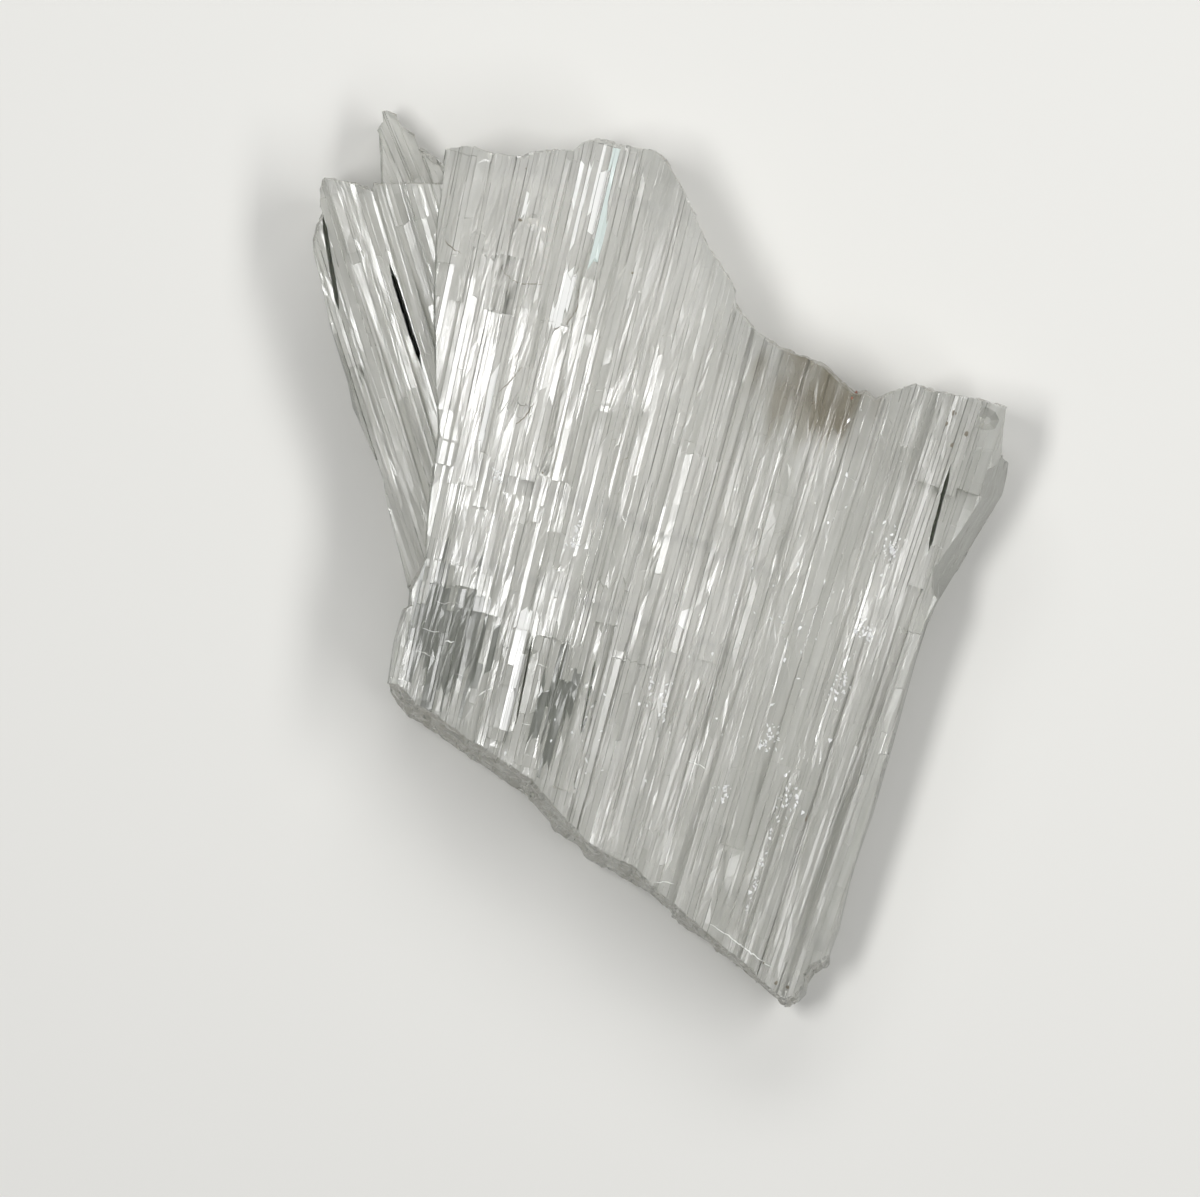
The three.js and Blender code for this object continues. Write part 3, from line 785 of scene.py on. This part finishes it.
class OBJECT_OT_probertite_shards(bpy.types.Operator):
    """Set the small shards, the fine cracks and the specks on the crystal"""

    bl_idname = "object.probertite_shards"
    bl_label = "Probertite Shards"

    def execute(self, context):
        piece = bpy.data.objects["probertite"]
        surface = BVHTree.FromObject(piece, context.evaluated_depsgraph_get())
        points, faces, slots = [], [], []
        finishes = list(FINISHES)
        for finish, solid_points, solid_faces in (*self.shards(surface), *self.cracks(surface), *self.specks(surface)):
            start = sum(len(p) for p in points)
            points.append(solid_points)
            faces.extend([tuple(start + corner for corner in face) for face in solid_faces])
            slots.extend([finishes.index(finish)] * len(solid_faces))
        points = np.clip(np.concatenate(points), np.array(CAD_BOX[0]) / MM, np.array(CAD_BOX[1]) / MM)
        data = bpy.data.meshes.new("probertite_shards")
        data.from_pydata(points * MM, [], faces)
        for material in piece.data.materials:
            data.materials.append(material)
        data.polygons.foreach_set("material_index", np.array(slots, np.int32))
        attribute = data.attributes.new("fibre", "FLOAT_VECTOR", "POINT")
        attribute.data.foreach_set("vector", points.ravel().astype(np.float32))
        keep_marks(data, np.tile((0.0, 0.0, 0.8), (len(data.loops), 1)))
        data.update()
        grains = bpy.data.objects.new("probertite_shards", data)
        context.collection.objects.link(grains)
        bpy.ops.object.select_all(action="DESELECT")
        grains.select_set(True)
        piece.select_set(True)
        context.view_layer.objects.active = piece
        bpy.ops.object.join()
        return {"FINISHED"}

    def drop(self, surface, x, y):
        """The point of the crystal's top at a place on the ground plan, in millimetres, or None beside it."""
        hit = surface.ray_cast(Vector((x * MM, y * MM, 1)), Vector((0, 0, -1)))[0]
        return None if hit is None else np.array(hit) / MM

    def shards(self, surface):
        """Small flat shards, tilted at random, half sunk in the crystal."""
        draw = np.random.default_rng(SEED + 7)
        lean = math.radians(FANS["plate"]["lean"])
        made = []
        for t, a, wide, long, count in SHARDS:
            for _ in range(count):
                across = t + wide * draw.normal(0, 0.5)
                along = a + long * draw.normal(0, 0.5)
                x, y = plate_point(across, along)
                at = self.drop(surface, x, y)
                if at is None or at[2] < 3:
                    continue
                length = draw.uniform(*SHARD_LENGTH)
                turn = -lean + draw.normal(0, 0.5)
                size = np.array([length * draw.uniform(0.3, 0.7), length, 0.06]) / 2
                made.append(("glinting", *self.shard(draw, at, size, turn, draw.uniform(-0.5, 0.5, 2))))
        return made

    def shard(self, draw, at, size, turn, tilt):
        """A flat six-cornered chip of a half size, turned on the ground plan and tilted."""
        corners = np.array([(1, 0, 0), (0, 1, 0), (-1, 0, 0), (0, -1, 0), (0.2, 0.1, 1), (-0.1, -0.2, -1)], float)
        corners = corners * draw.uniform(0.7, 1.2, corners.shape) * size
        corners[:, 2] += corners[:, :2] @ tilt
        turned = corners @ np.array(Matrix.Rotation(turn, 3, "Z")).T
        ring = ((0, 1), (1, 2), (2, 3), (3, 0))
        faces = [(p, q, 4) for p, q in ring] + [(q, p, 5) for p, q in ring]
        return turned + at, faces

    def cracks(self, surface):
        """Fine cracks, each a thin sliver along its line that lies in the crystal's top."""
        draw = np.random.default_rng(SEED + 8)
        made = []
        for finish, width, line in FINE_CRACKS:
            line = np.array(line)
            reach = np.concatenate([[0], np.cumsum(np.hypot(*np.diff(line, axis=0).T))])
            count = max(4, int(reach[-1] / 0.15))
            steps = np.linspace(0, reach[-1], count)
            path = np.stack([np.interp(steps, reach, line[:, i]) for i in (0, 1)], axis=1)
            path += draw.normal(0, 0.03, path.shape)
            way = np.gradient(path, axis=0)
            side = np.stack([-way[:, 1], way[:, 0]], axis=1) / np.hypot(*way.T)[:, None]
            taper = np.sin(np.linspace(0.15, math.pi - 0.15, count)) ** 0.6 * draw.uniform(0.6, 1.2, count)
            tops = [self.drop(surface, *point) for point in path]
            if any(top is None for top in tops):
                raise ValueError(f"the fine crack at {tuple(line[0])} leaves the crystal")
            half = side * (width / 2 * taper)[:, None]
            middle = np.array(tops)
            points = np.zeros((count, 4, 3))
            points[:] = middle[:, None]
            points[:, 0, :2] += half
            points[:, 2, :2] -= half
            points[:, 1, 2] += 0.025 * taper
            points[:, 3, 2] -= 0.08 * taper
            faces = []
            for row in range(count - 1):
                for corner in range(4):
                    after = (corner + 1) % 4
                    low, high = 4 * row, 4 * row + 4
                    faces.append((low + corner, low + after, high + after, high + corner))
            faces.append((3, 2, 1, 0))
            last = 4 * (count - 1)
            faces.append((last, last + 1, last + 2, last + 3))
            made.append((finish, points.reshape(-1, 3), faces))
        return made

    def specks(self, surface):
        """Small grains that are sunk in the crystal's top."""
        draw = np.random.default_rng(SEED + 9)
        lean = math.radians(FANS["plate"]["lean"])
        made = []
        for finish, x, y, length, width in SPECKS:
            at = self.drop(surface, x, y)
            if at is None:
                raise ValueError(f"the speck at {x}, {y} lies beside the crystal")
            size = np.array([width, length, 0.08]) / 2
            made.append((finish, *self.grain(draw, at, size, -lean)))
        return made

    def grain(self, draw, at, size, turn):
        """A rounded grain of a half size, turned on the ground plan."""
        bulk = bmesh.new()
        bmesh.ops.create_icosphere(bulk, subdivisions=1, radius=1)
        corners = np.array([v.co for v in bulk.verts]) * draw.uniform(0.75, 1.15, (len(bulk.verts), 1)) * size
        faces = [tuple(v.index for v in f.verts) for f in bulk.faces]
        bulk.free()
        return corners @ np.array(Matrix.Rotation(turn, 3, "Z")).T + at, faces


class OBJECT_OT_probertite_stage(bpy.types.Operator):
    """Set the floor, the lights and the camera"""

    bl_idname = "object.probertite_stage"
    bl_label = "Probertite Stage"

    def execute(self, context):
        settings = context.scene.probertite_stage
        bpy.ops.object.select_all(action="DESELECT")
        bpy.ops.mesh.primitive_plane_add(size=2, location=(0, 0, -FLOOR_GAP * MM))
        floor = context.view_layer.objects.active
        floor.name = "floor"
        floor.data.materials.append(floor_paper(settings))
        for softbox in SOFTBOXES:
            self.light(*softbox)
        world = bpy.data.worlds.new("studio")
        world.use_nodes = True
        sky = world.node_tree.nodes["Background"].inputs
        sky["Color"].default_value = (*ROOM_COLOUR, 1)
        sky["Strength"].default_value = ROOM_STRENGTH
        context.scene.world = world
        self.camera(context, settings)
        context.scene.view_settings.view_transform = "Standard"
        return {"FINISHED"}

    def light(self, name, place, size, power):
        """A softbox that faces the crystal, with its place and size in millimetres and its power in watts."""
        bpy.ops.object.light_add(type="AREA", location=Vector(place) * MM)
        lamp = bpy.context.view_layer.objects.active
        lamp.name = name
        lamp.data.shape = "RECTANGLE"
        lamp.data.size, lamp.data.size_y = size[0] * MM, size[1] * MM
        lamp.data.energy = power
        lamp.rotation_euler = (-Vector(place)).to_track_quat("-Z", "Y").to_euler()

    def camera(self, context, settings):
        """A long lens straight above the crystal, framed as in the photograph."""
        bpy.ops.object.camera_add(location=Vector(CAMERA_PLACE) * MM, rotation=(0, 0, 0))
        camera = context.view_layer.objects.active
        camera.data.sensor_fit = "HORIZONTAL"
        camera.data.sensor_width = SENSOR
        camera.data.lens = SENSOR * (CAMERA_PLACE[2] - EDGE_HEIGHT) * MM / settings.frame_width
        camera.data.clip_start = 10 * MM
        context.scene.camera = camera


class VIEW3D_PT_probertite(bpy.types.Panel):
    """The specimen's pieces and its stage"""

    bl_label = "Probertite"
    bl_space_type = "VIEW_3D"
    bl_region_type = "UI"
    bl_category = "Probertite"

    def draw(self, context):
        for group in (context.scene.probertite_crystal, context.scene.probertite_stage):
            for name in group.__annotations__:
                self.layout.prop(group, name)
        for operator in OPERATORS:
            self.layout.operator(operator.bl_idname)


OPERATORS = (OBJECT_OT_probertite_crystal, OBJECT_OT_probertite_shards, OBJECT_OT_probertite_stage)
CLASSES = (CrystalSettings, StageSettings, *OPERATORS, VIEW3D_PT_probertite)


def register():
    for cls in CLASSES:
        bpy.utils.register_class(cls)
    bpy.types.Scene.probertite_crystal = bpy.props.PointerProperty(type=CrystalSettings)
    bpy.types.Scene.probertite_stage = bpy.props.PointerProperty(type=StageSettings)


def unregister():
    del bpy.types.Scene.probertite_stage
    del bpy.types.Scene.probertite_crystal
    for cls in reversed(CLASSES):
        bpy.utils.unregister_class(cls)


def main():
    register()
    bpy.ops.object.probertite_crystal()
    bpy.ops.object.probertite_shards()
    bpy.ops.object.probertite_stage()


if __name__ == "__main__":
    main()
